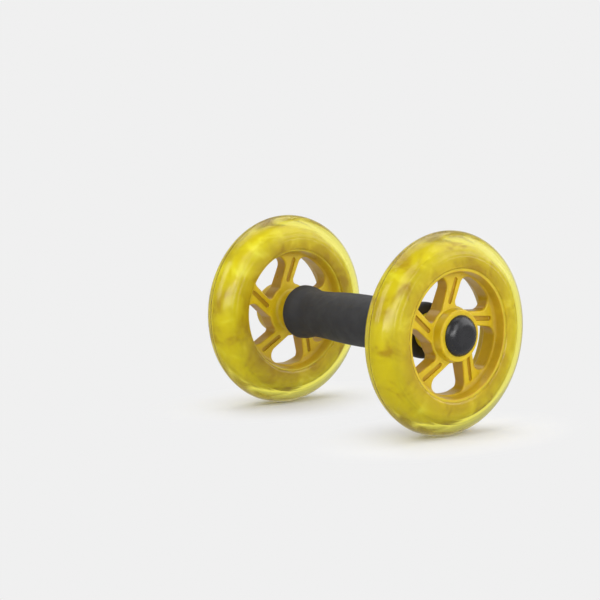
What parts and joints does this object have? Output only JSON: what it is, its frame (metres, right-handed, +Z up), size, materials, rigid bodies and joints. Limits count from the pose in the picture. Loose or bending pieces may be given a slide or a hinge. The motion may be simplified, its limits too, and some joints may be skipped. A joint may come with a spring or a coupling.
{
  "type": "two-wheeled ab roller",
  "caption": "Hand-held ab roller with a contoured grip on an axle between free-spinning spoked wheels with soft translucent tyres and domed hub caps.",
  "frame": {"origin": "on the floor under the middle of the grip, with the roller resting on its two wheels", "axes": "+X along the axle towards the right wheel, +Z up, +Y level and square to the axle"},
  "size_m": [0.218, 0.146, 0.146],
  "materials": {
    "tyre": "glossy translucent yellow",
    "core": "semi-gloss moulded golden yellow",
    "cap": "semi-gloss black",
    "grip": "matt soft black",
    "nylon_black": "moulded",
    "nylon_natural": "moulded",
    "ball_steel": "polished",
    "bearing_steel": "ground",
    "shield_steel": "pressed sheet",
    "zinc_steel": "zinc plated",
    "tube_steel": "drawn",
    "axle_steel": "turned"
  },
  "bodies": {
    "handle": {"axle_rod": "axle_steel", "grip_sleeve": "grip", "handle_tube": "tube_steel", "left_bearing_spacer": "axle_steel", "left_end_plug": "nylon_black", "left_inboard_inner_race": "bearing_steel", "left_inner_spacer": "axle_steel", "left_lock_nut": "zinc_steel", "left_nut_insert": "nylon_natural", "left_outboard_inner_race": "bearing_steel", "left_speed_washer": "zinc_steel", "right_bearing_spacer": "axle_steel", "right_end_plug": "nylon_black", "right_inboard_inner_race": "bearing_steel", "right_inner_spacer": "axle_steel", "right_lock_nut": "zinc_steel", "right_nut_insert": "nylon_natural", "right_outboard_inner_race": "bearing_steel", "right_speed_washer": "zinc_steel"},
    "left_wheel": {"left_hub_cap": "cap", "left_inboard_outer_race": "bearing_steel", "left_inboard_shields": "shield_steel", "left_outboard_outer_race": "bearing_steel", "left_outboard_shields": "shield_steel", "left_tyre": "tyre", "left_wheel_core": "core"},
    "right_wheel": {"right_hub_cap": "cap", "right_inboard_outer_race": "bearing_steel", "right_inboard_shields": "shield_steel", "right_outboard_outer_race": "bearing_steel", "right_outboard_shields": "shield_steel", "right_tyre": "tyre", "right_wheel_core": "core"},
    "left_ball_sets": {"left_inboard_balls": "ball_steel", "left_inboard_cage": "nylon_natural", "left_outboard_balls": "ball_steel", "left_outboard_cage": "nylon_natural"},
    "right_ball_sets": {"right_inboard_balls": "ball_steel", "right_inboard_cage": "nylon_natural", "right_outboard_balls": "ball_steel", "right_outboard_cage": "nylon_natural"}
  },
  "joints": [
    {"name": "left_wheel_spin", "type": "hinge", "parent": "handle", "child": "left_wheel", "pos_m": [-0.089, 0, 0.073], "axis": [1, 0, 0], "continuous": true},
    {"name": "left_ball_orbit", "type": "hinge", "parent": "handle", "child": "left_ball_sets", "pos_m": [-0.089, 0, 0.073], "axis": [1, 0, 0], "continuous": true},
    {"name": "right_wheel_spin", "type": "hinge", "parent": "handle", "child": "right_wheel", "pos_m": [0.089, 0, 0.073], "axis": [1, 0, 0], "continuous": true},
    {"name": "right_ball_orbit", "type": "hinge", "parent": "handle", "child": "right_ball_sets", "pos_m": [0.089, 0, 0.073], "axis": [1, 0, 0], "continuous": true}
  ],
  "couplings": [
    {"joint": "left_ball_orbit", "follows": "left_wheel_spin", "ratio": 0.6323},
    {"joint": "right_ball_orbit", "follows": "right_wheel_spin", "ratio": 0.6323}
  ]
}
